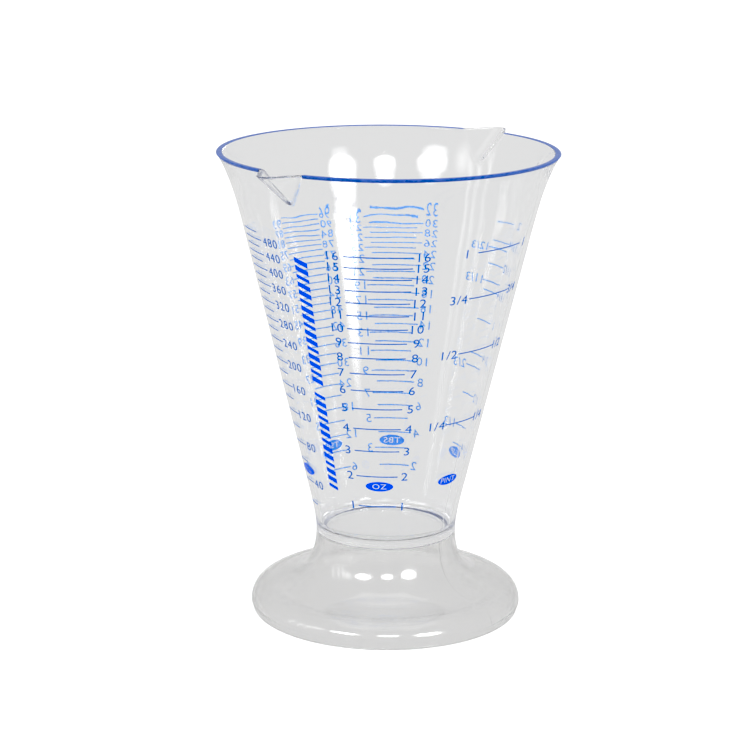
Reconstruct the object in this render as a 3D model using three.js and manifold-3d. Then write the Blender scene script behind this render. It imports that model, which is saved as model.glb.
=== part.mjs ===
// A graduated measuring cup: a clear tapered cup with a flared rim and two pouring lips, standing
// on a hollow bell foot, with a printed rim band and printed volume scales.
// Millimetres, +Z up. The origin is on the cup's axis, on the surface that the foot stands on.
// Azimuths are in degrees about +Z, from the middle of the ounce scale, which faces -Y.

import * as THREE from 'three';
import { mergeVertices } from 'three/addons/utils/BufferGeometryUtils.js';
import Module from 'manifold-3d';

const wasm = await Module();
wasm.setup();

// The cup
const CUP_HEIGHT = 169.8; // from the standing surface to the moulded rim
const RIM_RADIUS = 61;
const CONE_SLOPE = 0.2396; // radius gained per unit of height
const CONE_RADIUS = 27.4; // outside radius where the straight wall is measured
const CONE_RADIUS_HEIGHT = 42.1;
const CUP_WALL = 1.8;
const FLARE_START = 153; // the straight wall ends here and bends out to the rim
const NECK_RADIUS = 25.55;
const NECK_BLEND_TOP = 44; // the neck's curve runs into the straight wall here

// The floor and the seam between cup and foot
const FLOOR_HEIGHT = 31.2; // the floor that the liquid stands on
const FLOOR_THICKNESS = 1.5;
const FLOOR_FILLET = 2;
const SEAM_GAP = 0.2; // the bond line

// The foot
const FOOT_WALL = 2;
const FOOT_RADIUS = 49.6;
const FOOT_WIDEST_HEIGHT = 2.5;
const FOOT_STANDING_RADIUS = 49; // outer edge of the ring that it stands on
const SHOULDER_RADIUS = 41.5; // the nearly flat top ends here and rolls over the edge
const SHOULDER_HEIGHT = 10;
const NECK_TANGENT = 17.2; // how far the neck's curve keeps to the vertical
const SHOULDER_TANGENT = new THREE.Vector2(-4.3, 0.5);
const EDGE_TANGENT = new THREE.Vector2(5.4, -0.6);
const EDGE_ROLL = 4.3;

// The pouring lips
const LIP_AZIMUTHS = [-33, 147];
const LIP_HALF_WIDTH = 9;
const LIP_TIP_RADIUS = 71; // from the cup's axis to the tip
const LIP_TIP_ROUND = 3.5;
const LIP_DEPTH = 11.2; // how far below the rim the lip's keel meets the wall
const LIP_WALL = 1.5;
const LIP_OVERSHOOT = 4; // the hollow is cut on past the rim by this much
const LIP_START = 0.02; // share of the lip's depth left off its pointed lower end

// The printing
const INK = 0.15;
const INK_GAP = 0.1;
const LINE_HEIGHT = 0.5;
const ML_PER_OUNCE = 29.5735;
const OUNCES = 16;
const QUARTER_PINTS = 4;
const OUNCE_LINE_HALF_ANGLE = 13.5;
const PINT_LINE_HALF_ANGLE = 13;
const PINT_AZIMUTH = 53;
const BADGE_HEIGHT = 54.6;
const BADGE_SIZE = new THREE.Vector2(9.8, 3.9);
const BADGES = { oz: 0, pint: 51, cup: 121, tbs: 180, tsp: -131, ml: -62 };
const RIM_BAND_INSET = 0.1;
const RIM_BAND_WIDTH = 1.9;
const RIM_BAND_MARGIN = 0.3; // degrees between a band's end and a lip

const AROUND = 48; // facets in a full turn
const CURVE_STEPS = 5;
const REACH = 90; // longer than any radius of the cup

const material = (name, color, roughness, opacity) => new THREE.MeshStandardMaterial({
  name, color, roughness, metalness: 0, opacity, transparent: opacity < 1,
});
const clearPlastic = () => material('clear_plastic', 0xe6ebf0, 0.06, 0.35);
const footPlastic = () => material('foot_plastic', 0xdadfe3, 0.14, 0.45);
const blueInk = () => material('blue_ink', 0x1450d2, 0.45, 1);
const rimInk = () => material('rim_ink', 0x1e50be, 0.3, 1);

const point = (radius, height) => new THREE.Vector2(radius, height);
const radians = (degrees) => THREE.MathUtils.degToRad(degrees);
const coneRadius = (height) => CONE_RADIUS + CONE_SLOPE * (height - CONE_RADIUS_HEIGHT);

// A closed geometry as a solid that can be cut and joined.
function solidOf(geometry) {
  const bare = geometry.clone();
  bare.deleteAttribute('normal');
  bare.deleteAttribute('uv');
  const merged = mergeVertices(bare, 1e-4);
  const corners = merged.index.array;
  const faces = [];
  for (let i = 0; i < corners.length; i += 3) {
    const [a, b, c] = [corners[i], corners[i + 1], corners[i + 2]];
    if (a !== b && b !== c && c !== a) faces.push(a, b, c);
  }
  const vertProperties = new Float32Array(merged.attributes.position.array);
  const triVerts = new Uint32Array(faces);
  return new wasm.Manifold(new wasm.Mesh({ numProp: 3, vertProperties, triVerts }));
}

function meshOf(name, solid, skin) {
  const cut = solid.getMesh();
  const geometry = new THREE.BufferGeometry();
  geometry.setAttribute('position', new THREE.BufferAttribute(cut.vertProperties, 3));
  geometry.setIndex(new THREE.BufferAttribute(cut.triVerts, 1));
  geometry.computeVertexNormals();
  const mesh = new THREE.Mesh(geometry, skin);
  mesh.name = name;
  return mesh;
}

// An outline of (radius, height) points turned about the cup's axis.
function turned(outline) {
  return solidOf(new THREE.LatheGeometry(outline, AROUND).rotateX(Math.PI / 2));
}

// The points of an outline moved sideways, towards the axis for an outline that runs upwards.
function inset(outline, distance) {
  return outline.map((at, i) => {
    const before = outline[Math.max(i - 1, 0)];
    const after = outline[Math.min(i + 1, outline.length - 1)];
    const along = after.clone().sub(before).normalize();
    return point(at.x - along.y * distance, at.y + along.x * distance);
  });
}

// The cup's outside, from the seam up to the rim.
function cupOutline() {
  const neckCorner = CONE_RADIUS_HEIGHT + (NECK_RADIUS - CONE_RADIUS) / CONE_SLOPE;
  const neck = new THREE.QuadraticBezierCurve(
    point(NECK_RADIUS, FLOOR_HEIGHT - FLOOR_THICKNESS),
    point(NECK_RADIUS, neckCorner),
    point(coneRadius(NECK_BLEND_TOP), NECK_BLEND_TOP),
  );
  const bend = (FLARE_START + CUP_HEIGHT) / 2;
  const flare = new THREE.QuadraticBezierCurve(
    point(coneRadius(FLARE_START), FLARE_START),
    point(coneRadius(bend), bend),
    point(RIM_RADIUS, CUP_HEIGHT),
  );
  return [...neck.getPoints(CURVE_STEPS), ...flare.getPoints(CURVE_STEPS)];
}

// The cup's hollow: a flat floor, a fillet round it and the wall's inside, on past the rim.
function hollowOutline() {
  const wall = inset(cupOutline(), CUP_WALL);
  const filletTop = FLOOR_HEIGHT + FLOOR_FILLET;
  const side = wall.filter((at) => at.y > filletTop);
  const fillet = new THREE.EllipseCurve(
    NECK_RADIUS - CUP_WALL - FLOOR_FILLET, filletTop, FLOOR_FILLET, FLOOR_FILLET, -Math.PI / 2, 0,
  );
  const top = side[side.length - 1].y;
  return [point(0, FLOOR_HEIGHT), ...fillet.getPoints(CURVE_STEPS), ...side, point(0, top)];
}

// A lip seen from above at the rim, with its tip towards +Y: two straight sides and a round tip.
function lipPlan(setIn) {
  const slant = setIn * Math.SQRT1_2;
  const rootWidth = LIP_HALF_WIDTH - slant;
  const rootDepth = Math.sqrt(RIM_RADIUS ** 2 - LIP_HALF_WIDTH ** 2) - slant;
  const round = LIP_TIP_ROUND - setIn;
  const centre = LIP_TIP_RADIUS - LIP_TIP_ROUND;
  const reach = Math.hypot(rootWidth, centre - rootDepth);
  const tangent = Math.acos(round / reach) - Math.atan2(centre - rootDepth, rootWidth);
  const plan = new THREE.Shape();
  plan.moveTo(-rootWidth, rootDepth - CUP_WALL * 2);
  plan.lineTo(rootWidth, rootDepth - CUP_WALL * 2);
  plan.lineTo(rootWidth, rootDepth);
  plan.absarc(0, centre, round, tangent, Math.PI - tangent, false);
  plan.lineTo(-rootWidth, rootDepth);
  return plan;
}

// A lip as a solid that narrows from its plan at the rim to a point on the wall.
function lip(azimuth, setIn, overshoot) {
  const keelRise = LIP_DEPTH / Math.hypot(LIP_DEPTH, LIP_TIP_RADIUS - RIM_RADIUS);
  const pointHeight = CUP_HEIGHT - LIP_DEPTH + setIn * Math.sqrt(1 - keelRise ** 2);
  const pointDepth = coneRadius(CUP_HEIGHT - LIP_DEPTH) - setIn * keelRise;
  const solid = new THREE.ExtrudeGeometry(lipPlan(setIn), {
    depth: 1, steps: 1, curveSegments: CURVE_STEPS, bevelEnabled: false,
  });
  const places = solid.attributes.position;
  const full = CUP_HEIGHT - pointHeight;
  for (let i = 0; i < places.count; i += 1) {
    const share = places.getZ(i) > 0.5 ? 1 + overshoot / full : LIP_START;
    const depth = pointDepth + (places.getY(i) - pointDepth) * share;
    places.setXYZ(i, places.getX(i) * share, depth, pointHeight + full * share);
  }
  return solidOf(solid.rotateZ(Math.PI + radians(azimuth)));
}

function measuringCone() {
  const bottom = point(0, FLOOR_HEIGHT - FLOOR_THICKNESS);
  let outside = turned([bottom, ...cupOutline(), point(0, CUP_HEIGHT)]);
  let hollow = turned(hollowOutline());
  for (const azimuth of LIP_AZIMUTHS) {
    outside = outside.add(lip(azimuth, 0, 0));
    hollow = hollow.add(lip(azimuth, LIP_WALL, LIP_OVERSHOOT));
  }
  return meshOf('measuring_cone', outside.subtract(hollow), clearPlastic());
}

// The foot's outside, from the ring that it stands on up to the seam.
function footOutline() {
  const shoulder = point(SHOULDER_RADIUS, SHOULDER_HEIGHT);
  const widest = point(FOOT_RADIUS, FOOT_WIDEST_HEIGHT);
  const seam = point(NECK_RADIUS, FLOOR_HEIGHT - FLOOR_THICKNESS - SEAM_GAP);
  const edge = new THREE.CubicBezierCurve(
    widest,
    point(FOOT_RADIUS, FOOT_WIDEST_HEIGHT + EDGE_ROLL),
    shoulder.clone().add(EDGE_TANGENT),
    shoulder,
  );
  const rise = new THREE.CubicBezierCurve(
    shoulder,
    shoulder.clone().add(SHOULDER_TANGENT),
    point(NECK_RADIUS, seam.y - NECK_TANGENT),
    seam,
  );
  const standing = point(FOOT_STANDING_RADIUS, 0);
  const top = rise.getPoints(2 * CURVE_STEPS).slice(1);
  return [standing, ...edge.getPoints(CURVE_STEPS), ...top];
}

// The foot is one wall turned about the axis, open below and closed above by the cup's floor.
function bellFoot() {
  const outside = footOutline();
  const inside = inset(outside, FOOT_WALL);
  inside[0] = point(FOOT_STANDING_RADIUS - FOOT_WALL, 0);
  inside[inside.length - 1] = point(NECK_RADIUS - FOOT_WALL, outside[outside.length - 1].y);
  const section = [...outside, ...inside.reverse(), outside[0]];
  return meshOf('bell_foot', turned(section), footPlastic());
}

// The height at which the cup holds a volume. The hollow is a cone cut off by the floor.
function heightOfVolume(millilitres) {
  const wallAcross = CUP_WALL * Math.hypot(1, CONE_SLOPE);
  const floorRadius = coneRadius(FLOOR_HEIGHT) - wallAcross;
  const cubed = floorRadius ** 3 + (3 * CONE_SLOPE * millilitres * 1000) / Math.PI;
  return FLOOR_HEIGHT + (Math.cbrt(cubed) - floorRadius) / CONE_SLOPE;
}

// A thin skin just off the straight wall, from which each printed mark is cut.
function inkSkin() {
  const inner = (height) => point(coneRadius(height) + INK_GAP, height);
  const outer = (height) => point(coneRadius(height) + INK_GAP + INK, height);
  const low = NECK_BLEND_TOP;
  const high = FLARE_START;
  return turned([inner(low), outer(low), outer(high), inner(high), inner(low)]);
}

// A graduation line round part of the wall.
function line(skin, name, azimuth, halfAngle, height) {
  const width = 2 * coneRadius(height) * Math.sin(radians(halfAngle));
  const bar = new THREE.BoxGeometry(width, REACH, LINE_HEIGHT);
  bar.translate(0, -REACH / 2, height).rotateZ(radians(azimuth));
  return meshOf(name, skin.intersect(solidOf(bar)), blueInk());
}

// An oval unit badge on the wall.
function badge(skin, unit, azimuth) {
  const oval = new THREE.Shape();
  oval.absellipse(0, 0, BADGE_SIZE.x / 2, BADGE_SIZE.y / 2, 0, 2 * Math.PI);
  const prism = new THREE.ExtrudeGeometry(oval, {
    depth: REACH, curveSegments: 2 * CURVE_STEPS, bevelEnabled: false,
  });
  prism.rotateX(Math.PI / 2).translate(0, 0, BADGE_HEIGHT).rotateZ(radians(azimuth));
  return meshOf(`badge_${unit}`, skin.intersect(solidOf(prism)), blueInk());
}

// A band on the rim's flat top, from one lip to the other.
function rimBand(name, startLip, endLip) {
  const lipHalfAngle = THREE.MathUtils.radToDeg(Math.asin(LIP_HALF_WIDTH / RIM_RADIUS));
  const clear = lipHalfAngle + RIM_BAND_MARGIN;
  const start = radians(startLip + clear - 90);
  const end = radians(endLip - clear - 90);
  const outer = RIM_RADIUS - RIM_BAND_INSET;
  const band = new THREE.Shape();
  band.absarc(0, 0, outer, start, end, false);
  band.absarc(0, 0, outer - RIM_BAND_WIDTH, end, start, true);
  const strip = new THREE.ExtrudeGeometry(band, {
    depth: INK, curveSegments: AROUND / 2, bevelEnabled: false,
  });
  strip.translate(0, 0, CUP_HEIGHT + INK_GAP);
  return meshOf(name, solidOf(strip), rimInk());
}

const cup = new THREE.Group();
cup.add(measuringCone(), bellFoot());

const [leftLip, rightLip] = LIP_AZIMUTHS;
cup.add(rimBand('rim_band_right', leftLip, rightLip));
cup.add(rimBand('rim_band_left', rightLip, leftLip + 360));

const skin = inkSkin();
for (let ounce = 1; ounce <= OUNCES; ounce += 1) {
  const name = `ounce_line_${String(ounce).padStart(2, '0')}`;
  cup.add(line(skin, name, 0, OUNCE_LINE_HALF_ANGLE, heightOfVolume(ounce * ML_PER_OUNCE)));
}
for (let quarter = 1; quarter <= QUARTER_PINTS; quarter += 1) {
  const height = heightOfVolume((quarter * OUNCES * ML_PER_OUNCE) / QUARTER_PINTS);
  cup.add(line(skin, `pint_line_${quarter}`, PINT_AZIMUTH, PINT_LINE_HALF_ANGLE, height));
}
for (const [unit, azimuth] of Object.entries(BADGES)) {
  cup.add(badge(skin, unit, azimuth));
}

export default cup;
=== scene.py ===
"""A clear plastic measuring cup on a hollow bell foot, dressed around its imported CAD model.

Lengths are in millimetres, and meshes are made in metres. The origin is on the cup's axis, on the
surface that the foot stands on. Azimuths are in degrees about +Z, from the front, which faces -Y,
towards +X.
"""

import math

import bmesh
import bpy
import numpy as np
from mathutils import Matrix, Vector, noise


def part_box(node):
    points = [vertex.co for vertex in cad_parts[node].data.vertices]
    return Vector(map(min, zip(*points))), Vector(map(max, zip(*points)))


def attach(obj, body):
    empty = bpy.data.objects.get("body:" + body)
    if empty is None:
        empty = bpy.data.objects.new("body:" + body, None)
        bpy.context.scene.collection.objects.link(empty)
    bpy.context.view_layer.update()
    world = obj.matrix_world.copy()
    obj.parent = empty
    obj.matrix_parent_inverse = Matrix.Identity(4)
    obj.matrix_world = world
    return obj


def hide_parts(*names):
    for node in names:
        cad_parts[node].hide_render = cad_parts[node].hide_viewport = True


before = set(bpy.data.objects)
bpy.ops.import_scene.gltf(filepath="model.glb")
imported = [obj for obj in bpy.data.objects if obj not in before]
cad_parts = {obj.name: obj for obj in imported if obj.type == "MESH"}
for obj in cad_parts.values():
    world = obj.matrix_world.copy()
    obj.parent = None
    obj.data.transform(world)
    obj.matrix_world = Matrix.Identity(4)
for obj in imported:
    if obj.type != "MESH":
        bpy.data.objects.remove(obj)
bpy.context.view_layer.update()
MM = 0.001

# ---------------------------------------------------------------- sizes that come from the frame


def box_mm(node):
    """A CAD node's lowest and highest corners, in millimetres."""
    low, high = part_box(node)
    return low / MM, high / MM


OUNCES = 16
QUARTER_PINTS = 4
LINE_HEIGHTS = []  # heights of the ounce lines, from one ounce up
LINE_RADII = []  # radius of the printed skin at the top of each line
for _ounce in range(1, OUNCES + 1):
    _low, _high = box_mm(f"ounce_line_{_ounce:02d}")
    LINE_HEIGHTS.append((_low.z + _high.z) / 2)
    LINE_RADII.append((-_low.y, _high.z))

CUP_TOP = box_mm("measuring_cone")[1].z
CUP_UNDERSIDE = box_mm("measuring_cone")[0].z
SEAM = box_mm("bell_foot")[1].z
FOOT_RADIUS = box_mm("bell_foot")[1].x
BAND_SETBACK = 0.1  # from the rim's outer edge in to the CAD band's
RIM_RADIUS = box_mm("rim_band_right")[1].x + BAND_SETBACK
BADGE_HEIGHT = sum(corner.z for corner in box_mm("badge_oz")) / 2
CONE_SLOPE = (LINE_RADII[-1][0] - LINE_RADII[0][0]) / (LINE_RADII[-1][1] - LINE_RADII[0][1])
CAD_INK_STAND = 0.25  # the CAD lines' outer face above the wall
CONE_BASE = LINE_RADII[0][0] - CAD_INK_STAND - CONE_SLOPE * LINE_RADII[0][1]

# ---------------------------------------------------------------- the moulded shapes

CUP_WALL = 1.8
FLARE_START = 153.0
NECK_RADIUS = 25.55
NECK_BLEND_TOP = 44.0
FLOOR_HEIGHT = 31.2
FLOOR_FILLET = 3.4
EDGE_ROUND = 0.45
SEAM_ROUND = 0.08  # the edges that meet at the seam are nearly sharp
SEAM_SUPPORT = 0.06  # an extra ring of mesh this far from a seam edge keeps its shading crisp

LIP_AZIMUTHS = (-33.0, 147.0)
LIP_HALF_ANGLE = 8.5  # from a lip's middle to where it leaves the rim
LIP_CENTRE = 67.5  # from the cup's axis to the middle of the round tip, at the rim
LIP_KEEL_SLOPE = 1.39  # how fast the tip draws in below the rim
LIP_ROUND = 3.5
LIP_FLANK = (0.831, 0.556)  # sideways and outward parts of a flank's normal
LIP_WALL = 1.5
LIP_SET_BACK = 0.15  # how far the tip's inside moves in for each millimetre of its wall
LIP_DEPTH = 16.0  # a lip is looked for only this far below the rim
LIP_LEAST_REACH = 20.0  # and only while its tip is this far from the axis
LIP_WIDEST_TURN = 40.0  # beyond this many degrees its reach stays the same
LIP_SPAN = 12.0  # degrees each way in which the mesh is finer
LIP_FINE_SPAN = 9.5  # degrees each way in which it is finer still
LIP_BLEND = 0.7  # how softly a lip runs into the wall

FOOT_WALL = 2.0
FOOT_WIDEST_HEIGHT = 2.5
FOOT_STANDING_RADIUS = 49.0
SHOULDER = (41.5, 10.0)  # radius and height where the edge's curve meets the rise to the neck
SHOULDER_TANGENT = (-4.3, 0.5)  # from the shoulder towards the neck
EDGE_TANGENT = (5.4, -0.6)  # from the shoulder towards the edge
EDGE_ROLL = 4.3  # from the widest point straight up
NECK_TANGENT = 17.2  # from the seam straight down
FOOT_EDGE_ROUND = 0.6

PARTING_AZIMUTHS = (56.0, -124.0)
PARTING_PROUD = 0.04
PARTING_WIDTH = 0.12
PARTING_FADE = (58.0, 70.0)  # the line dies out between these heights


def cone_radius(height):
    """Outside radius of the straight wall, carried on above and below it."""
    return CONE_BASE + CONE_SLOPE * height


def bezier(controls, steps):
    """Points along a Bezier curve of any degree."""
    controls = [np.array(c, float) for c in controls]
    degree = len(controls) - 1
    t = np.linspace(0, 1, steps + 1)[:, None]
    total = np.zeros((steps + 1, 2))
    for i, control in enumerate(controls):
        total += math.comb(degree, i) * t**i * (1 - t) ** (degree - i) * control
    return total


def inset(outline, distance):
    """An outline of (radius, height) points moved towards the axis, square to itself."""
    along = np.gradient(outline, axis=0)
    along /= np.linalg.norm(along, axis=1)[:, None]
    return outline + distance * np.stack([-along[:, 1], along[:, 0]], axis=1)


def cup_outline():
    """The cup's outside, from its underside to the rim."""
    corner = (NECK_RADIUS - CONE_BASE) / CONE_SLOPE
    bend = (FLARE_START + CUP_TOP) / 2
    neck = [
        (NECK_RADIUS, CUP_UNDERSIDE),
        (NECK_RADIUS, corner),
        (cone_radius(NECK_BLEND_TOP), NECK_BLEND_TOP),
    ]
    flare = [
        (cone_radius(FLARE_START), FLARE_START),
        (cone_radius(bend), bend),
        (RIM_RADIUS, CUP_TOP),
    ]
    wall = [neck[-1], flare[0]]
    wall_steps = bezier(wall, steps=60)[1:]
    return np.vstack([bezier(neck, steps=40), wall_steps, bezier(flare, steps=60)[1:]])


CUP_OUTSIDE = cup_outline()
CUP_INSIDE = inset(CUP_OUTSIDE, CUP_WALL)


def outside_radius(height):
    return np.interp(height, CUP_OUTSIDE[:, 1], CUP_OUTSIDE[:, 0])


def inside_radius(height):
    return np.interp(height, CUP_INSIDE[:, 1], CUP_INSIDE[:, 0])


def smooth_max(a, b, softness):
    """The larger value, with the change from one to the other rounded off."""
    overlap = np.maximum(softness - np.abs(a - b), 0) / softness
    return np.maximum(a, b) + overlap**2 * softness / 4


def degrees_off(azimuth, places):
    """How many degrees an azimuth is from the nearest of a few others."""
    return min(abs((azimuth - place + 180) % 360 - 180) for place in places)


def lip_radius(azimuth, height, thinner):
    """How far out a lip reaches at an azimuth, as seen from above at one height."""
    sideways, outward = LIP_FLANK
    turn = math.radians(min(degrees_off(azimuth, LIP_AZIMUTHS), LIP_WIDEST_TURN))
    centre = LIP_CENTRE - thinner * LIP_SET_BACK - LIP_KEEL_SLOPE * (CUP_TOP - height)
    tip_round = LIP_ROUND - thinner
    if centre < LIP_LEAST_REACH:
        return 0.0
    tangent = math.atan2(tip_round * sideways, centre + tip_round * outward)
    if turn < tangent:
        return centre * math.cos(turn) + math.sqrt(
            tip_round**2 - (centre * math.sin(turn)) ** 2
        )
    reach = outward * centre + tip_round
    return reach / (sideways * math.sin(turn) + outward * math.cos(turn))


def with_lips(radius, azimuth, height, thinner=0.0):
    """The wall's radius where a lip may carry it further out."""
    if height < CUP_TOP - LIP_DEPTH:
        return radius
    return smooth_max(radius, lip_radius(azimuth, height, thinner), LIP_BLEND)


# ---------------------------------------------------------------- small unevenness of the mouldings

RIPPLE_SIZE = 6.5
RIPPLE_DEPTH = 0.009
OUTER_SHARE = 0.5  # the outside ripples by this share of the inside
OUTER_SEED = 3.0
INNER_SEED = 11.0
FLARE_RIPPLE_DEPTH = 0.03
FLARE_UNEVEN = (144.0, 149.0, 161.0, 166.0)  # grows over the first two heights, fades over the last
SWELL_HEIGHT = 159.0  # the wall is thickest here, where it bends out
SWELL_DEPTH = 0.34
SWELL_BELOW = 9.0
SWELL_ABOVE = 7.0


def ripple(azimuth, height, radius, depth, seed):
    """The slow waves that cooling leaves in a moulded wall."""
    turn = math.radians(azimuth)
    place = Vector((radius * math.sin(turn), -radius * math.cos(turn), height))
    return depth * noise.noise(place / RIPPLE_SIZE + Vector((seed, 0, 0)))


def swell(height):
    """How much thicker the wall is round the flare's bend."""
    reach = SWELL_BELOW if height < SWELL_HEIGHT else SWELL_ABOVE
    return SWELL_DEPTH * math.exp(-(((height - SWELL_HEIGHT) / reach) ** 2))


def parting(azimuth, height, radius):
    """The fine raised line where the mould's halves met."""
    off = degrees_off(azimuth, PARTING_AZIMUTHS)
    across = math.radians(off) * radius / PARTING_WIDTH
    if across > 4:
        return 0.0
    low, high = PARTING_FADE
    fade = min(max((high - height) / (high - low), 0.0), 1.0)
    return PARTING_PROUD * fade * math.exp(-across * across)


def outer_wave(azimuth, height, radius):
    """All that lifts the outside off its plain outline."""
    wave = ripple(azimuth, height, radius, RIPPLE_DEPTH * OUTER_SHARE, OUTER_SEED)
    return wave + swell(height) + parting(azimuth, height, radius)


def inner_wave(azimuth, height, radius):
    """The inside's ripples, which are deeper in the flare."""
    share = float(np.interp(height, FLARE_UNEVEN, (0, 1, 1, 0)))
    depth = RIPPLE_DEPTH + share * FLARE_RIPPLE_DEPTH
    return ripple(azimuth, height, radius, depth, INNER_SEED)


# ---------------------------------------------------------------- mesh making

COLUMN_STEP = 1.8  # degrees between the mesh columns
LIP_STEP = 0.5
LIP_FINE_STEP = 0.25
PARTING_SPAN = 0.75
PARTING_STEP = 0.15
LEAST_STEP = 0.1  # of columns closer than this, only the first is kept
NECK_ROW = 1.2  # millimetres between the mesh rows
WALL_ROW = 2.2
INSIDE_ROW = 2.0
FLARE_ROWS = 46


def on_axis(radius, azimuth, height):
    """The point at a radius, azimuth and height about the cup's axis."""
    turn = np.radians(azimuth)
    return np.stack([radius * np.sin(turn), -radius * np.cos(turn), height], axis=-1)


def mesh_object(name, points, faces, material, cad_nodes):
    """A smooth-shaded piece in metres that rides on the body and stands for its CAD nodes."""
    mesh = bpy.data.meshes.new(name)
    mesh.from_pydata((np.asarray(points) * MM).tolist(), [], faces)
    mesh.materials.append(material)
    mesh.shade_smooth()
    made = bpy.data.objects.new(name, mesh)
    bpy.context.scene.collection.objects.link(made)
    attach(made, "root")
    if cad_nodes:
        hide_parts(*cad_nodes)
    return made


def grid_faces(rows, columns, closed_rows):
    """Quads between rows of a grid that closes on itself round the axis."""
    faces = []
    last = rows if closed_rows else rows - 1
    for i in range(last):
        here = i * columns
        above = ((i + 1) % rows) * columns
        for j in range(columns):
            k = (j + 1) % columns
            faces.append((here + j, here + k, above + k, above + j))
    return faces


def spread(middle, half, step):
    """Evenly spaced azimuths on both sides of a middle one."""
    return set((middle + np.arange(-half, half + step / 2, step)).tolist())


def azimuth_columns():
    """Azimuths of the mesh columns: finer at the lips and at the parting lines."""
    columns = set(np.arange(0, 360, COLUMN_STEP).tolist())
    for lip in LIP_AZIMUTHS:
        columns |= spread(lip, LIP_SPAN, LIP_STEP)
        columns |= spread(lip, LIP_FINE_SPAN, LIP_FINE_STEP)
    for line in PARTING_AZIMUTHS:
        columns |= spread(line, PARTING_SPAN, PARTING_STEP)
    turned = sorted(round(c % 360, 3) for c in columns)
    kept = [turned[0]]
    for c in turned[1:]:
        if c - kept[-1] > LEAST_STEP:
            kept.append(c)
    return kept


def rounded(radius, steps):
    """How far in and how far down a quarter-round edge is, from its side up to its top."""
    turn = np.linspace(0, math.pi / 2, steps + 1)
    return radius * (1 - np.cos(turn)), radius * (1 - np.sin(turn))


def cup_rows():
    """Mesh rows as (kind, amount, height), from the underside round the rim to the floor.

    The amount is the radius of a flat row, and how far a wall row stands in from its wall.
    """
    rows = []
    side = NECK_RADIUS - SEAM_ROUND
    for radius in (side * 0.33, side * 0.66, side * 0.9, side - SEAM_SUPPORT):
        rows.append(("flat", radius, CUP_UNDERSIDE))
    for turn in np.linspace(-math.pi / 2, 0, 4):
        rise = CUP_UNDERSIDE + SEAM_ROUND * (1 + math.sin(turn))
        rows.append(("flat", side + SEAM_ROUND * math.cos(turn), rise))
    rows.append(("flat", NECK_RADIUS, CUP_UNDERSIDE + SEAM_ROUND + SEAM_SUPPORT))
    neck = np.arange(CUP_UNDERSIDE + 1, NECK_BLEND_TOP, NECK_ROW)
    wall = np.arange(NECK_BLEND_TOP, FLARE_START, WALL_ROW)
    flare = np.linspace(FLARE_START, CUP_TOP - EDGE_ROUND, FLARE_ROWS)
    for height in [*neck, *wall, *flare[:-1]]:
        rows.append(("outside", 0.0, height))
    drop_in, drop = rounded(EDGE_ROUND, steps=4)
    for step_in, step_down in zip(drop_in, drop):
        rows.append(("outside", step_in, CUP_TOP - step_down))
    for step_in, step_down in zip(drop_in[::-1], drop[::-1]):
        rows.append(("inside", step_in, CUP_TOP - step_down))
    fillet_top = FLOOR_HEIGHT + FLOOR_FILLET
    inner = np.arange(fillet_top + 1, FLARE_START, INSIDE_ROW)
    for height in [*flare[:-1][::-1], *inner[::-1]]:
        rows.append(("inside", 0.0, height))
    floor_edge = inside_radius(fillet_top) - FLOOR_FILLET
    for turn in np.linspace(0, math.pi / 2, 6):
        rise = fillet_top - FLOOR_FILLET * math.sin(turn)
        rows.append(("flat", floor_edge + FLOOR_FILLET * math.cos(turn), rise))
    for share in (0.85, 0.6, 0.3):
        rows.append(("flat", floor_edge * share, FLOOR_HEIGHT))
    return rows


def cup_radius(kind, amount, azimuth, height):
    """The radius of one point in a row of the cup's mesh."""
    if kind == "outside":
        plain = float(outside_radius(height))
        radius = with_lips(plain, azimuth, height) - amount
        return radius + outer_wave(azimuth, height, plain)
    if kind == "inside":
        plain = float(inside_radius(height))
        radius = with_lips(plain, azimuth, height, LIP_WALL) + amount
        return radius + inner_wave(azimuth, height, plain)
    return amount


def cup_shell(material):
    """The cup in one closed mesh: underside, outside wall, rim, inside wall and floor."""
    columns = azimuth_columns()
    rows = cup_rows()
    points = [(0, 0, CUP_UNDERSIDE)]
    for kind, amount, height in rows:
        for azimuth in columns:
            radius = cup_radius(kind, amount, azimuth, height)
            points.append(on_axis(radius, azimuth, height))
    points.append((0, 0, FLOOR_HEIGHT))

    count = len(columns)
    grid = grid_faces(len(rows), count, closed_rows=False)
    faces = [tuple(k + 1 for k in face) for face in grid]
    top_ring = 1 + (len(rows) - 1) * count
    for j in range(count):
        k = (j + 1) % count
        faces.append((0, 1 + k, 1 + j))
        faces.append((len(points) - 1, top_ring + j, top_ring + k))
    mesh_object("cup_shell", points, faces, material, ["measuring_cone"])


def foot_outline():
    """The foot's outside, from its widest point up to the seam."""
    shoulder = np.array(SHOULDER)
    edge = [
        (FOOT_RADIUS, FOOT_WIDEST_HEIGHT),
        (FOOT_RADIUS, FOOT_WIDEST_HEIGHT + EDGE_ROLL),
        shoulder + EDGE_TANGENT,
        shoulder,
    ]
    rise = [
        shoulder,
        shoulder + SHOULDER_TANGENT,
        (NECK_RADIUS, SEAM - NECK_TANGENT),
        (NECK_RADIUS, SEAM),
    ]
    return np.vstack([bezier(edge, steps=18), bezier(rise, steps=44)[1:]])


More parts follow.
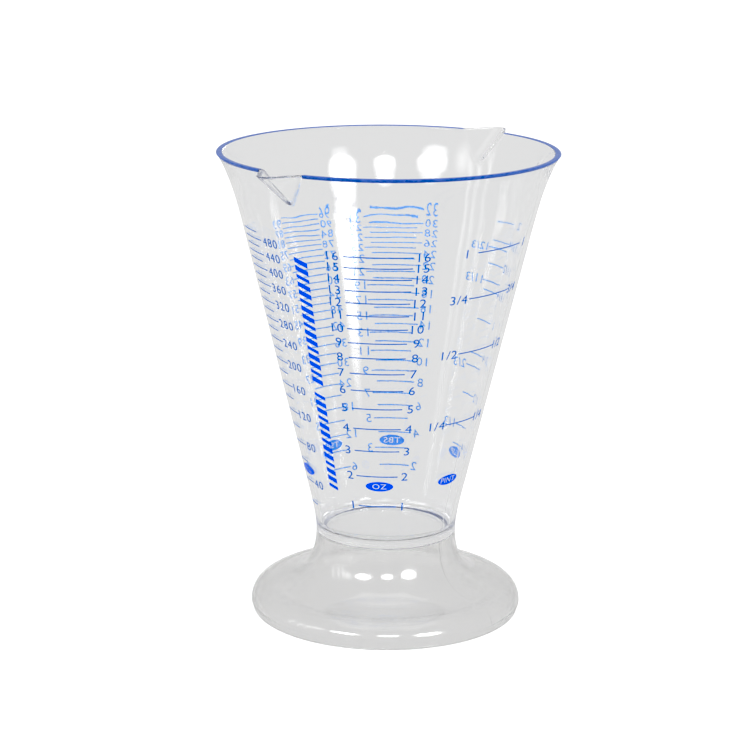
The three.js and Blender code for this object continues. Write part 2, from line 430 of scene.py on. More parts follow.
def foot_shell(material, joint):
    """The hollow foot: one wall turned about the axis, its top ring faced with the joint."""
    outside = foot_outline()
    inside = inset(outside, FOOT_WALL)
    inner = NECK_RADIUS - FOOT_WALL
    support = SEAM_ROUND + SEAM_SUPPORT
    outside[-1] = (NECK_RADIUS, SEAM - support)
    inside[-1] = (inner, SEAM - support)
    side_in, side_down = rounded(SEAM_ROUND, steps=3)
    top = [(NECK_RADIUS - i, SEAM - d) for i, d in zip(side_in, side_down)]
    top += [(NECK_RADIUS - support, SEAM), (inner + support, SEAM)]
    top += [(inner + i, SEAM - d) for i, d in zip(side_in[::-1], side_down[::-1])]
    ring_out = []
    ring_in = []
    for turn in np.linspace(0, math.pi / 2, 5):
        out, rise = FOOT_EDGE_ROUND * math.sin(turn), FOOT_EDGE_ROUND * (1 - math.cos(turn))
        ring_out.append((FOOT_STANDING_RADIUS - FOOT_EDGE_ROUND + out, rise))
        ring_in.append((FOOT_STANDING_RADIUS - FOOT_WALL + FOOT_EDGE_ROUND - out, rise))
    profile = [*ring_out, *outside.tolist(), *top, *inside[::-1].tolist(), *ring_in[::-1]]
    columns = azimuth_columns()
    points = []
    for radius, height in profile:
        uneven = height > FOOT_WIDEST_HEIGHT  # the standing ring is left plain
        for azimuth in columns:
            wave = outer_wave(azimuth, height, radius) if uneven else 0.0
            points.append(on_axis(radius + wave, azimuth, height))
    faces = grid_faces(len(profile), len(columns), closed_rows=True)
    made = mesh_object("foot_shell", points, faces, material, ["bell_foot"])
    made.data.materials.append(joint)
    first = len(ring_out) + len(outside)
    for face in made.data.polygons:
        if first <= face.index // len(columns) < first + len(top) - 1:
            face.material_index = 1


# ---------------------------------------------------------------- the printed rim

RIM_INK_STAND = 0.07
RIM_INK_GAP = 0.02
RIM_INK_DOWN = (1.1, 0.45)  # how far it reaches down the outside, at the front and the back
RIM_INK_TURNS = (0.3, 2.4)  # where it turns over the rim from and to, in radians from outwards
RIM_INK_STEP = 0.75  # degrees between the film's mesh rows
RIM_INK_MARGIN = 0.3  # degrees between the ink's end and a lip
RIM_INK_CLEAR = LIP_HALF_ANGLE + RIM_INK_MARGIN
RIM_SHARP = 50.0  # edges that turn by more degrees than this are shaded sharp


def rim_ink(name, start, end, material, cad_node):
    """A film of ink over the rim: its outer edge, its flat top and its inner edge."""
    azimuths = np.arange(start, end + 0.01, RIM_INK_STEP)
    first_turn, last_turn = RIM_INK_TURNS
    up = math.pi / 2
    outer = float(outside_radius(CUP_TOP)) - EDGE_ROUND
    inner = float(inside_radius(CUP_TOP)) + EDGE_ROUND
    over_rim = []  # (radius, height, outward radius, outward height)
    for centre, turns in ((outer, (first_turn, up)), (inner, (up, last_turn))):
        for turn in np.linspace(*turns, 5):
            over_rim.append((centre, CUP_TOP - EDGE_ROUND, math.cos(turn), math.sin(turn)))
    front, back = RIM_INK_DOWN
    points = []
    for azimuth in azimuths:
        down = (front + back + (front - back) * math.cos(math.radians(azimuth))) / 2
        path = []
        for drop in (down, (down + EDGE_ROUND) / 2, EDGE_ROUND):
            height = CUP_TOP - drop
            path.append((float(outside_radius(height)) - EDGE_ROUND, height, 1.0, 0.0))
        path += over_rim
        loop = [(p, EDGE_ROUND + RIM_INK_STAND) for p in path]
        loop += [(p, EDGE_ROUND + RIM_INK_GAP) for p in path[::-1]]
        for (radius, height, out_r, out_z), reach in loop:
            points.append(on_axis(radius + out_r * reach, azimuth, height + out_z * reach))
    size = len(loop)
    faces = []
    for i in range(len(azimuths) - 1):
        for j in range(size):
            k = (j + 1) % size
            a, b = i * size, (i + 1) * size
            faces.append((a + j, b + j, b + k, a + k))
    faces.append(tuple(range(size)))
    faces.append(tuple(range(len(points) - 1, len(points) - size - 1, -1)))
    made = mesh_object(name, points, faces, material, [cad_node])
    made.data.set_sharp_from_angle(angle=math.radians(RIM_SHARP))


def rim_prints(material):
    """The two arcs of ink, which stop short of the lips."""
    left_lip, right_lip = LIP_AZIMUTHS
    ends = (left_lip + RIM_INK_CLEAR, right_lip - RIM_INK_CLEAR)
    rim_ink("rim_print_right", *ends, material, "rim_band_right")
    ends = (right_lip + RIM_INK_CLEAR, left_lip + 360 - RIM_INK_CLEAR)
    rim_ink("rim_print_left", *ends, material, "rim_band_left")


# ---------------------------------------------------------------- the printed scales

INK_STAND = 0.06  # the film's outer face above the wall
INK_GAP = 0.015
FILM_SHARP = 40.0  # edges of the film that turn by more degrees than this are shaded sharp
LINE_THICKNESS = 0.38
LINE_STEP = 1.0  # degrees between the points of a line
LINE_UNEVEN = 0.04  # how much a line's edges waver
LINE_UNEVEN_RATE = 0.8  # how fast they do, for each degree
LINE_UNEVEN_SEED = 5.0
DIGIT_HEIGHT = 3.2
COLUMN_WIDTH = 1.0  # flat lettering is cut into columns this wide before it is bent
LEAN_TOP = (0.4, 141.0)  # the whole print stands a little askew: azimuth at a height
LEAN_BOTTOM = (-2.4, 46.0)


def lean(height):
    """How many degrees the print is turned at a height."""
    (top, high), (bottom, low) = LEAN_TOP, LEAN_BOTTOM
    return bottom + (top - bottom) * (height - low) / (high - low)


def height_of(ounces):
    """Height of a volume on the wall, between and beyond the CAD's ounce lines."""
    known = [0.0, *range(1, OUNCES + 1)]
    heights = [FLOOR_HEIGHT, *LINE_HEIGHTS]
    if ounces <= OUNCES:
        cubes = [(cone_radius(h) - CUP_WALL) ** 3 for h in heights]
        cubed = np.interp(ounces, known, cubes)
        return (cubed ** (1 / 3) + CUP_WALL - CONE_BASE) / CONE_SLOPE
    return heights[-1] + (ounces - OUNCES) * (heights[-1] - heights[-2])


FINE, SOLID = range(2)  # how thin marks and solid marks are inked
INSIDE = 2  # added for the face that is seen through the wall, which takes lighter copies of the inks that glow more: painted light from behind


class Print:
    """Flat marks gathered on the wall as (azimuth, height) points and faces."""

    def __init__(self):
        self.points = []
        self.faces = []
        self.inks = []  # which of the piece's inks each face is printed with

    def add(self, points, faces, ink):
        first = len(self.points)
        self.points += points
        self.faces += [tuple(first + k for k in face) for face in faces]
        self.inks += [ink] * len(faces)

    def line(self, start, end, height, thickness=LINE_THICKNESS):
        """A graduation line, from one azimuth to another."""
        steps = max(2, math.ceil((end - start) / LINE_STEP))
        azimuths = np.linspace(start, end, steps + 1) + lean(height)
        points = []
        for azimuth in azimuths:
            place = Vector((azimuth * LINE_UNEVEN_RATE, height, LINE_UNEVEN_SEED))
            half = thickness / 2 + LINE_UNEVEN * noise.noise(place)
            points += [(azimuth, height - half), (azimuth, height + half)]
        faces = [(2 * i, 2 * i + 2, 2 * i + 3, 2 * i + 1) for i in range(steps)]
        self.add(points, faces, FINE)

    def flat(self, mesh, azimuth, height, ink):
        """A flat mesh, in millimetres, bent round the wall with its origin at one place."""
        bm = bmesh.new()
        bm.from_mesh(mesh)
        bmesh.ops.remove_doubles(bm, verts=bm.verts, dist=1e-4)
        xs = [v.co.x for v in bm.verts]
        for cut in np.arange(min(xs) + COLUMN_WIDTH, max(xs), COLUMN_WIDTH):
            bmesh.ops.bisect_plane(
                bm,
                geom=[*bm.verts, *bm.edges, *bm.faces],
                plane_co=(cut, 0, 0),
                plane_no=(1, 0, 0),
            )
        bm.verts.index_update()
        radius = cone_radius(height)
        upright = 1 / math.hypot(1, CONE_SLOPE)
        middle = azimuth + lean(height)
        points = [
            (middle + math.degrees(v.co.x / radius), height + v.co.y * upright)
            for v in bm.verts
        ]
        faces = [tuple(v.index for v in face.verts) for face in bm.faces]
        for i, face in enumerate(bm.faces):
            if face.normal.z < 0:
                faces[i] = faces[i][::-1]
        self.add(points, faces, ink)
        bm.free()

    def label(self, text, azimuth, height):
        self.flat(lettering(text), azimuth, height, FINE)

    def badge(self, unit, height=BADGE_HEIGHT):
        azimuth, stretch = BADGES[unit]
        self.flat(badge_mesh(unit, stretch), azimuth, height, SOLID)

    def piece(self, name, inks, cad_nodes):
        """The marks as one thin closed film that stands just off the wall."""
        count = len(self.points)
        solid = []
        for depth in (INK_STAND, INK_GAP):
            for azimuth, height in self.points:
                plain = float(outside_radius(height))
                radius = plain + outer_wave(azimuth, height, plain) + depth
                solid.append(on_axis(radius, azimuth, height))
        faces = list(self.faces)
        faces += [tuple(count + k for k in face[::-1]) for face in self.faces]
        sides = {}  # the edges round the marks, in the order that they are met
        for face in self.faces:
            for a, b in zip(face, face[1:] + face[:1]):
                if (b, a) in sides:
                    del sides[(b, a)]
                else:
                    sides[(a, b)] = True
        inner_faces = len(faces)
        faces += [(b, a, count + a, count + b) for a, b in sides]
        made = mesh_object(name, solid, faces, inks[FINE], cad_nodes)
        for ink in inks[1:]:
            made.data.materials.append(ink)
        for face, ink in zip(made.data.polygons, self.inks):
            face.material_index = ink
        # the faces seen through the wall take the lighter copies of the inks, which carry painted
        # light
        for face, ink in zip(made.data.polygons[len(self.faces):inner_faces], self.inks):
            face.material_index = ink + INSIDE
        made.data.set_sharp_from_angle(angle=math.radians(FILM_SHARP))


LETTER_SPACING = 1.12
LETTER_STRETCH = 1.14
LETTER_BOLD = 0.0
CURVE_STEPS = 3  # straight pieces in each curved part of a letter
LETTERING = {}  # the words made so far


def font_object(text, spacing, bold):
    """Text in the built-in typeface, linked so that it can be turned into outlines."""
    font = bpy.data.curves.new("lettering", "FONT")
    font.body = text
    font.resolution_u = CURVE_STEPS
    font.space_character = spacing
    font.offset = bold
    made = bpy.data.objects.new("lettering", font)
    bpy.context.scene.collection.objects.link(made)
    bpy.context.view_layer.update()
    return made


def remove_curve(made):
    """Takes out a curve or text object together with its data."""
    data = made.data
    bpy.data.objects.remove(made)
    bpy.data.curves.remove(data)


def flat_mesh(made):
    """The filled mesh of a flat curve or text object, which is then removed."""
    mesh = bpy.data.meshes.new_from_object(
        made.evaluated_get(bpy.context.evaluated_depsgraph_get())
    )
    remove_curve(made)
    return mesh


def box_of(mesh):
    """The lowest and highest corners of a flat mesh."""
    co = np.array([v.co for v in mesh.vertices])[:, :2]
    return co.min(0), co.max(0)


def lettering(text):
    """A filled word, centred, with its digits as high as the scales' digits."""
    if "zero" not in LETTERING:
        LETTERING["zero"] = flat_mesh(font_object("0", LETTER_SPACING, LETTER_BOLD))
    if text not in LETTERING:
        low, high = box_of(LETTERING["zero"])
        mesh = flat_mesh(font_object(text, LETTER_SPACING, LETTER_BOLD))
        left, right = box_of(mesh)
        scale = DIGIT_HEIGHT / (high[1] - low[1])
        middle = Vector(((left[0] + right[0]) / 2, (low[1] + high[1]) / 2, 0))
        sizes = Matrix.Diagonal((scale * LETTER_STRETCH, scale, scale, 1))
        mesh.transform(sizes @ Matrix.Translation(-middle))
        LETTERING[text] = mesh
    return LETTERING[text]


BADGE_SIZE = (9.8, 3.9)
BADGE_LETTERS = 2.05  # their height
BADGE_SPACING = 1.05
BADGE_BOLD = 0.03
OVAL_POINTS = 48
BADGES = {  # azimuth, and how many times wider the letters are than in the typeface
    "OZ": (1.7, 1.2),
    "PINT": (52.9, 1.1),
    "ML": (-60.3, 1.2),
    "TBS": (182.0, 1.4),
    "TSP": (-129.9, 1.4),
    "CUP": (122.5, 1.3),
}


def badge_mesh(unit, stretch):
    """An oval with its unit left open in it, as a flat mesh."""
    letters = font_object(unit, BADGE_SPACING, BADGE_BOLD)
    dg = bpy.context.evaluated_depsgraph_get()
    outlines = letters.evaluated_get(dg).to_curve(dg)
    flat = bpy.data.curves.new("badge", "CURVE")
    flat.dimensions = "2D"
    flat.fill_mode = "BOTH"
    flat.resolution_u = CURVE_STEPS
    xs = [p.co.x for s in outlines.splines for p in s.bezier_points]
    ys = [p.co.y for s in outlines.splines for p in s.bezier_points]
    high = BADGE_LETTERS / (max(ys) - min(ys))
    wide = high * stretch
    middle = Vector(((min(xs) + max(xs)) / 2, (min(ys) + max(ys)) / 2, 0))

    def place(co):
        moved = co - middle
        return (moved.x * wide, moved.y * high, 0)

    for outline in outlines.splines:
        spline = flat.splines.new("BEZIER")
        spline.bezier_points.add(len(outline.bezier_points) - 1)
        for new, old in zip(spline.bezier_points, outline.bezier_points):
            new.handle_left_type = new.handle_right_type = "FREE"
            new.co = place(old.co)
            new.handle_left = place(old.handle_left)
            new.handle_right = place(old.handle_right)
        spline.use_cyclic_u = True
    oval = flat.splines.new("POLY")
    turns = np.linspace(0, 2 * math.pi, OVAL_POINTS, endpoint=False)
    oval.points.add(len(turns) - 1)
    for point, turn in zip(oval.points, turns):
        x, y = BADGE_SIZE[0] / 2 * math.cos(turn), BADGE_SIZE[1] / 2 * math.sin(turn)
        point.co = (x, y, 0, 1)
    oval.use_cyclic_u = True
    remove_curve(letters)
    made = bpy.data.objects.new("badge", flat)
    bpy.context.scene.collection.objects.link(made)
    bpy.context.view_layer.update()
    return flat_mesh(made)


def between(low_value, high_value, height):
    """A value that changes evenly from the print's lowest line to its highest."""
    low, high = LINE_HEIGHTS[0], LINE_HEIGHTS[-1]
    return low_value + (high_value - low_value) * (height - low) / (high - low)


ML_PER_OUNCE = 29.5735
BACK_DROP = 0.9  # the back scales are printed this much lower

# Azimuths of each scale's lines, from and to, and of its labels.
OUNCE_LINE = (-13.5, 13.5)
OUNCE_LABELS = ((18.0, 17.7), (-17.8, -18.0))  # each at the lowest and the highest line
PINT_LINE = (40.6, 66.6)
PINT_LABELS = (35.4, 70.6)
PINT_TEXTS = {1: "1/4", 2: "1/2", 3: "3/4", 4: "1"}  # by quarters of a pint
MILLILITRE_LINE = (-71.0, -57.8)
MILLILITRE_LONG_LINE = (-71.0, -55.0)
MILLILITRE_LABEL = -48.7
MILLILITRE_THICKNESS = 0.34
MILLILITRE_BADGE_RISE = 1.0
TABLESPOON_LINE = (171.0, 194.8)
TABLESPOON_EVEN_LINE = (168.0, 191.8)
TABLESPOON_LABEL = 198.4
TABLESPOON_EVEN_LABEL = 164.0
TEASPOON_LINE = (-144.0, -123.0)
TEASPOON_LABEL = -119.5
TEASPOON_SIXTH_LABEL = -147.5  # every second label stands on the other side
CUP_LINE = (114.5, 129.0)
CUP_THIRD_LINE = (114.5, 131.0)
CUP_LABEL = 108.5
CUP_THIRD_LABEL = 137.0
CUP_MARKS = (3, 4, 6, 8, 9, 12, 15, 16, 18, 20, 21, 24)  # in twelfths of a cup
CUP_FRACTIONS = {0: "", 3: "1/4", 4: "1/3", 6: "1/2", 8: "2/3", 9: "3/4"}


def ounce_scale(inks):
    marks = Print()
    for ounce, height in enumerate(LINE_HEIGHTS, start=1):
        marks.line(*OUNCE_LINE, height)
        for azimuths in OUNCE_LABELS:
            marks.label(str(ounce), between(*azimuths, height), height)
    marks.badge("OZ")
    nodes = [f"ounce_line_{ounce:02d}" for ounce in range(1, OUNCES + 1)]
    marks.piece("ounce_scale", inks, [*nodes, "badge_oz"])


def pint_scale(inks):
    marks = Print()
    for quarter in range(1, QUARTER_PINTS + 1):
        low, high = box_mm(f"pint_line_{quarter}")
        height = (low.z + high.z) / 2
        marks.line(*PINT_LINE, height)
        for azimuth in PINT_LABELS:
            marks.label(PINT_TEXTS[quarter], azimuth, height)
    marks.badge("PINT")
    nodes = [f"pint_line_{quarter}" for quarter in range(1, QUARTER_PINTS + 1)]
    marks.piece("pint_scale", inks, [*nodes, "badge_pint"])


def millilitre_scale(inks):
    marks = Print()
    for volume in range(20, 501, 20):
        height = height_of(volume / ML_PER_OUNCE)
        labelled = volume % 40 == 0
        line = MILLILITRE_LONG_LINE if labelled else MILLILITRE_LINE
        marks.line(*line, height, MILLILITRE_THICKNESS)
        if labelled:
            marks.label(str(volume), MILLILITRE_LABEL, height)
    marks.badge("ML", BADGE_HEIGHT + MILLILITRE_BADGE_RISE)
    marks.piece("millilitre_scale", inks, ["badge_ml"])


def tablespoon_scale(inks):
    marks = Print()
    for spoon in range(2, 33):
        height = height_of(spoon / 2) - BACK_DROP
        even = spoon % 2 == 0
        marks.line(*(TABLESPOON_EVEN_LINE if even else TABLESPOON_LINE), height)
        label = TABLESPOON_EVEN_LABEL if even else TABLESPOON_LABEL
        marks.label(str(spoon), label, height)
    marks.badge("TBS")
    marks.piece("tablespoon_scale", inks, ["badge_tbs"])


def teaspoon_scale(inks):
    marks = Print()
    for spoon in range(6, 97, 3):
        height = height_of(spoon / 6) - BACK_DROP
        marks.line(*TEASPOON_LINE, height)
        label = TEASPOON_SIXTH_LABEL if spoon % 6 == 0 else TEASPOON_LABEL
        marks.label(str(spoon), label, height)
    marks.badge("TSP")
    marks.piece("teaspoon_scale", inks, ["badge_tsp"])


def cup_scale(inks):
    marks = Print()
    for twelfths in CUP_MARKS:
        height = height_of(twelfths * 8 / 12) - BACK_DROP
        whole, part = divmod(twelfths, 12)
        third = part in (4, 8)
        text = (str(whole) if whole else "") + CUP_FRACTIONS[part]
        marks.line(*(CUP_THIRD_LINE if third else CUP_LINE), height)
        marks.label(text, CUP_THIRD_LABEL if third else CUP_LABEL, height)
    marks.badge("CUP")
    marks.piece("cup_scale", inks, ["badge_cup"])


STRIPE_AZIMUTH = -32.5
STRIPE_SPAN = (51.0, 139.0)
STRIPE_WIDTHS = (3.8, 5.4)  # at its lowest and its highest bar
STRIPE_SLANT = 0.35
STRIPE_BARS = 30
STRIPE_BREAK = 13  # one bar is left out here
BAR_SHARE = 0.64  # of the pitch that a bar fills
THIN_BAR_SHARE = 0.46  # every third bar is thinner


def side_stripe(inks):
    """A plain ornament of slanted bars up the wall, wider towards the top."""
    marks = Print()
    low, high = STRIPE_SPAN
    pitch = (high - low) / STRIPE_BARS
    for i in range(STRIPE_BARS):
        if i == STRIPE_BREAK:
            continue
        thick = pitch * (BAR_SHARE if i % 3 else THIN_BAR_SHARE)
        height = low + pitch * (i + 0.5)
        share = i / (STRIPE_BARS - 1)
        half = (STRIPE_WIDTHS[0] + (STRIPE_WIDTHS[1] - STRIPE_WIDTHS[0]) * share) / 2
        mesh = bpy.data.meshes.new("bar")
        rise = half * STRIPE_SLANT
        corners = [
            (-half, -thick / 2 + rise, 0),
            (half, -thick / 2 - rise, 0),
            (half, thick / 2 - rise, 0),
            (-half, thick / 2 + rise, 0),
        ]
        mesh.from_pydata(corners, [], [(0, 1, 2, 3)])
        marks.flat(mesh, STRIPE_AZIMUTH, height, SOLID)
    marks.piece("side_stripe", inks, [])


# ---------------------------------------------------------------- materials

PLASTIC_IOR = 1.5
CUP_TINT = (0.993, 0.995, 0.997)
CUP_HAZE = 0.012
FOOT_TINT = (0.995, 0.994, 0.991)
FOOT_HAZE = 0.16
WAVES = (  # noise scale, noise detail and depth in metres, from the slowest to the finest
    (160, 2.0, 0.000004),
    (600, 2.0, 0.000002),
    (1400, 3.0, 0.0000004),
)
COAT_ROUGHNESS = 0.03
JOINT_TINT = (0.86, 0.87, 0.9)
JOINT_CLEAR = 0.4
INK_SPECULAR = 0.3
INK_PAINTED_GLOW = (0.0, 0.17, 1.0)  # the colour of a painted glow that stands in for light showing through the ink
INK_PAINTED_GLOW_INSIDE = (0.0, 0.28, 1.0)
INKS = {  # colour, deeper colour, roughness, colour and strength of the painted glow that stands in for light through it, coat
    "fine_ink": ((0.0, 0.15, 0.58), (0.0, 0.12, 0.47), 0.4, INK_PAINTED_GLOW, 0.05, 0.0),
    "solid_ink": ((0.0, 0.1, 0.76), (0.0, 0.08, 0.66), 0.35, INK_PAINTED_GLOW, 0.13, 0.0),
    # the faces seen through the wall: lighter and more strongly glowing copies of the inks, painted
    # as if lit from behind
    "fine_ink_painted_lit_inside": (
        (0.14, 0.42, 0.85), (0.11, 0.36, 0.8), 0.4, INK_PAINTED_GLOW_INSIDE, 0.42, 0.0,
    ),
    "solid_ink_painted_lit_inside": (
        (0.0, 0.24, 0.9), (0.0, 0.2, 0.82), 0.4, INK_PAINTED_GLOW_INSIDE, 0.46, 0.0,
    ),
    "rim_ink": ((0.09, 0.17, 0.5), (0.0, 0.07, 0.34), 0.3, INK_PAINTED_GLOW, 0.05, 0.14),
}


class Nodes:
    """A material's node tree, with short calls to add and join nodes."""

    def __init__(self, name):
        self.material = bpy.data.materials.new(name)
        self.material.use_nodes = True
        self.tree = self.material.node_tree
        self.shader = self.tree.nodes["Principled BSDF"]
        self.place = self.add("ShaderNodeTexCoord").outputs["Object"]

    def add(self, kind, **values):
        node = self.tree.nodes.new(kind)
        for key, value in values.items():
            setattr(node, key, value)
        return node

    def join(self, output, target):
        self.tree.links.new(output, target)

    def set(self, **values):
        for key, value in values.items():
            self.shader.inputs[key.replace("_", " ")].default_value = value

    def noise(self, scale, detail=2.0, roughness=0.5):
        """Noise whose cells are about one over scale metres across."""
        node = self.add("ShaderNodeTexNoise")
        node.inputs["Scale"].default_value = scale
        node.inputs["Detail"].default_value = detail
        node.inputs["Roughness"].default_value = roughness
        self.join(self.place, node.inputs["Vector"])
        return node.outputs["Fac"]

    def remap(self, value, low, high, to_low, to_high):
        node = self.add("ShaderNodeMapRange")
        for key, number in zip(
            ("From Min", "From Max", "To Min", "To Max"), (low, high, to_low, to_high)
        ):
            node.inputs[key].default_value = number
        self.join(value, node.inputs["Value"])
        return node.outputs["Result"]

    def tint(self, value, first, second):
        node = self.add("ShaderNodeMix", data_type="RGBA")
        node.inputs["A"].default_value = (*first, 1)
        node.inputs["B"].default_value = (*second, 1)
        self.join(value, node.inputs["Factor"])
        return node.outputs["Result"]

    def bump(self, value, height, before=None):
        node = self.add("ShaderNodeBump")
        node.inputs["Distance"].default_value = height
        node.inputs["Strength"].default_value = 1.0
        self.join(value, node.inputs["Height"])
        if before is not None:
            self.join(before, node.inputs["Normal"])
        self.join(node.outputs["Normal"], self.shader.inputs["Normal"])
        return node.outputs["Normal"]


def clear_plastic(name, tint, haze, coat):
    """Clear moulded plastic: faint waves, fine handling scuffs and a touch of haze."""
    nodes = Nodes(name)
    nodes.set(Transmission_Weight=1.0, IOR=PLASTIC_IOR, Base_Color=(*tint, 1))
    nodes.set(Coat_Weight=coat, Coat_Roughness=COAT_ROUGHNESS)
    scuffs = nodes.remap(nodes.noise(900, 6.0, 0.65), 0.35, 0.75, haze * 0.5, haze * 1.8)
    nodes.join(scuffs, nodes.shader.inputs["Roughness"])
    waves = None
    for scale, detail, depth in WAVES:
        waves = nodes.bump(nodes.noise(scale, detail), depth, waves)
    return nodes.material


def bonded_joint(name):
    """The pale, faintly frosted face where the foot is bonded to the cup."""
    nodes = Nodes(name)
    nodes.set(Base_Color=(*JOINT_TINT, 1), Transmission_Weight=JOINT_CLEAR, IOR=PLASTIC_IOR)
    frosting = nodes.remap(nodes.noise(900, 2.0), 0.3, 0.7, 0.4, 0.6)
    nodes.join(frosting, nodes.shader.inputs["Roughness"])
    return nodes.material


def printed_ink(name, colour, deep, rough, through, glow, coat):
    """Screen-printed ink: slightly uneven cover, a soft sheen, and a painted glow that stands in
    for light coming through it.
    """
    nodes = Nodes(name)
    # painted glow: the ink emits light in place of the light that would come through it
    nodes.set(Emission_Color=(*through, 1), Emission_Strength=glow)
    nodes.set(Specular_IOR_Level=INK_SPECULAR)
    nodes.set(Coat_Weight=coat, Coat_Roughness=COAT_ROUGHNESS)
    cover = nodes.noise(1100, 3.0)
    shade = nodes.tint(nodes.remap(cover, 0.3, 0.7, 0.0, 1.0), deep, colour)
    nodes.join(shade, nodes.shader.inputs["Base Color"])
    sheen = nodes.remap(nodes.noise(2500, 2.0), 0.3, 0.7, rough * 0.8, rough * 1.2)
    nodes.join(sheen, nodes.shader.inputs["Roughness"])
    nodes.bump(cover, 0.000006)
    return nodes.material


# ---------------------------------------------------------------- stage, light and camera

GLASS_BOUNCES = 200  # light runs a long way up inside the walls before it gets out
CAMERA_AT = (57.35, -820.2, 303.1)
CAMERA_DOWN = 14.69  # degrees
CAMERA_HEADING = 4.30
CAMERA_ROLL = 0.363
CAMERA_LENS = 112.41

SURROUND = 0.725  # brightness of the room that the plastic shows and reflects
FLOOR_GLOW = 0.575
FLOOR_SIZE = 6.0  # metres
TABLE_GREY = (0.2, 0.2, 0.2, 1)
TABLE_POINTS = 64
BLACK_LEVEL = 0.07  # the picture's darkest tones are printed as black

LAMPS = {  # azimuth, elevation, width and height in degrees, brightness, softness of the edge
    "left": (-32, 25.5, 26, 14.5, 9.0, 0.4),
    "small": (7, 25, 19, 12.5, 9.0, 0.4),
    "right": (42, 20.5, 25, 22, 9.0, 0.4),
    "far_left": (-58, 24, 18, 22, 2.2, 1.0),
    "streak_1": (-66, 18, 6, 36, 2.2, 1.0),
    "streak_2": (-74, 18, 6, 36, 2.0, 1.0),
    "streak_3": (-84, 18, 6, 36, 1.8, 1.0),
}


def camera():
    data = bpy.data.cameras.new("camera")
    data.lens = CAMERA_LENS
    data.sensor_width = 36.0
    data.clip_start, data.clip_end = 0.05, 50.0
    made = bpy.data.objects.new("camera", data)
    bpy.context.scene.collection.objects.link(made)
    made.matrix_world = (
        Matrix.Translation(Vector(CAMERA_AT) * MM)
        @ Matrix.Rotation(math.radians(CAMERA_HEADING), 4, "Z")
        @ Matrix.Rotation(math.radians(90 - CAMERA_DOWN), 4, "X")
        @ Matrix.Rotation(math.radians(CAMERA_ROLL), 4, "Z")
    )
    bpy.context.scene.camera = made


def lamp(tree, direction, azimuth, elevation, wide, high, brightness, softness):
    """How bright an oval soft lamp is in a direction: full in its middle, fading at its edge."""
    a, e = math.radians(azimuth), math.radians(elevation)
    away = Vector((math.sin(a) * math.cos(e), -math.cos(a) * math.cos(e), math.sin(e)))
    place = tree.nodes.new("ShaderNodeMapping")
    place.vector_type = "TEXTURE"
    place.inputs["Location"].default_value = away
    place.inputs["Rotation"].default_value = away.to_track_quat("Z", "Y").to_euler()
    halves = (math.tan(math.radians(wide / 2)), math.tan(math.radians(high / 2)), 1)
    place.inputs["Scale"].default_value = halves
    tree.links.new(direction, place.inputs["Vector"])
    length = tree.nodes.new("ShaderNodeVectorMath")
    length.operation = "LENGTH"
    tree.links.new(place.outputs["Vector"], length.inputs[0])
    edge = tree.nodes.new("ShaderNodeMapRange")
    edge.interpolation_type = "SMOOTHSTEP"
    edge.inputs["From Min"].default_value = 1 - softness
    edge.inputs["To Min"].default_value = brightness
    edge.inputs["To Max"].default_value = 0.0
    tree.links.new(length.outputs["Value"], edge.inputs["Value"])
    return edge.outputs["Result"]


def room():
    """An even pale room with soft lamps, which the lens sees as clean white paper."""
    world = bpy.data.worlds.new("room")
    world.use_nodes = True
    bpy.context.scene.world = world
    tree = world.node_tree
    direction = tree.nodes.new("ShaderNodeTexCoord").outputs["Generated"]
    surround = tree.nodes.new("ShaderNodeValue")
    surround.outputs["Value"].default_value = SURROUND
    total = surround.outputs["Value"]
    for values in LAMPS.values():
        add = tree.nodes.new("ShaderNodeMath")
        tree.links.new(lamp(tree, direction, *values), add.inputs[0])
        tree.links.new(total, add.inputs[1])
        total = add.outputs["Value"]
    seen = tree.nodes.new("ShaderNodeLightPath").outputs["Is Camera Ray"]
    level = tree.nodes.new("ShaderNodeMapRange")
    level.inputs["To Max"].default_value = 1.0
    tree.links.new(total, level.inputs["To Min"])
    tree.links.new(seen, level.inputs["Value"])
    background = tree.nodes["Background"]
    tree.links.new(level.outputs["Result"], background.inputs["Strength"])
    background.inputs["Color"].default_value = (1, 1, 1, 1)


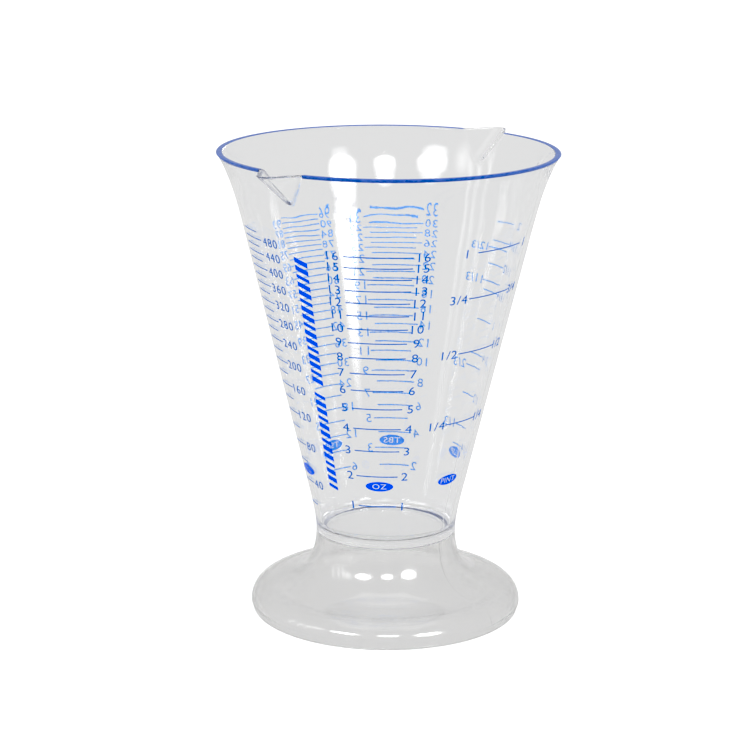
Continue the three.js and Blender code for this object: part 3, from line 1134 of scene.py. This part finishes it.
def floor():
    """A pale, evenly lit table under the cup."""
    nodes = Nodes("pale_table")
    nodes.set(Base_Color=TABLE_GREY, Roughness=1.0, Specular_IOR_Level=0.0)
    nodes.set(Emission_Color=(1, 1, 1, 1))
    seen = nodes.add("ShaderNodeLightPath").outputs["Is Camera Ray"]
    glow = nodes.remap(seen, 0, 1, FLOOR_GLOW, 1.0)
    nodes.join(glow, nodes.shader.inputs["Emission Strength"])
    mesh = bpy.data.meshes.new("table")
    turns = np.linspace(0, 2 * math.pi, TABLE_POINTS, endpoint=False)
    ring = [(FLOOR_SIZE * math.cos(t), FLOOR_SIZE * math.sin(t), 0) for t in turns]
    mesh.from_pydata(ring, [], [tuple(range(len(ring)))])
    mesh.materials.append(nodes.material)
    made = bpy.data.objects.new("table", mesh)
    bpy.context.scene.collection.objects.link(made)


OVERHEAD_SIZE = 1.5  # metres
OVERHEAD_HEIGHT = 2.0  # metres
OVERHEAD_POWER = 4.0  # watts


def overhead():
    """A wide soft lamp above the cup."""
    data = bpy.data.lights.new("overhead", "AREA")
    data.size = OVERHEAD_SIZE
    data.energy = OVERHEAD_POWER
    made = bpy.data.objects.new("overhead", data)
    bpy.context.scene.collection.objects.link(made)
    made.location = (0, 0, OVERHEAD_HEIGHT)
    made.visible_camera = False


def picture():
    """How the picture is taken: many bounces through the plastic, and a print's contrast."""
    scene = bpy.context.scene
    scene.cycles.max_bounces = GLASS_BOUNCES
    scene.cycles.transmission_bounces = GLASS_BOUNCES
    scene.cycles.glossy_bounces = GLASS_BOUNCES
    view = scene.view_settings
    view.view_transform = "Standard"
    view.use_curve_mapping = True
    view.curve_mapping.black_level = (BLACK_LEVEL,) * 3
    view.curve_mapping.update()


# ---------------------------------------------------------------- the object

camera()
room()
floor()
overhead()
picture()

cup_plastic = clear_plastic("cup_plastic", CUP_TINT, CUP_HAZE, coat=0.0)
foot_plastic = clear_plastic("foot_plastic", FOOT_TINT, FOOT_HAZE, coat=1.0)
seam_joint = bonded_joint("seam_joint")
inks = {name: printed_ink(name, *values) for name, values in INKS.items()}
rim_blue = inks.pop("rim_ink")
scale_inks = list(inks.values())  # FINE and SOLID, then the same two, painted lighter and glowing more, for the INSIDE

cup_shell(cup_plastic)
foot_shell(foot_plastic, seam_joint)
rim_prints(rim_blue)
ounce_scale(scale_inks)
pint_scale(scale_inks)
millilitre_scale(scale_inks)
tablespoon_scale(scale_inks)
teaspoon_scale(scale_inks)
cup_scale(scale_inks)
side_stripe(scale_inks)
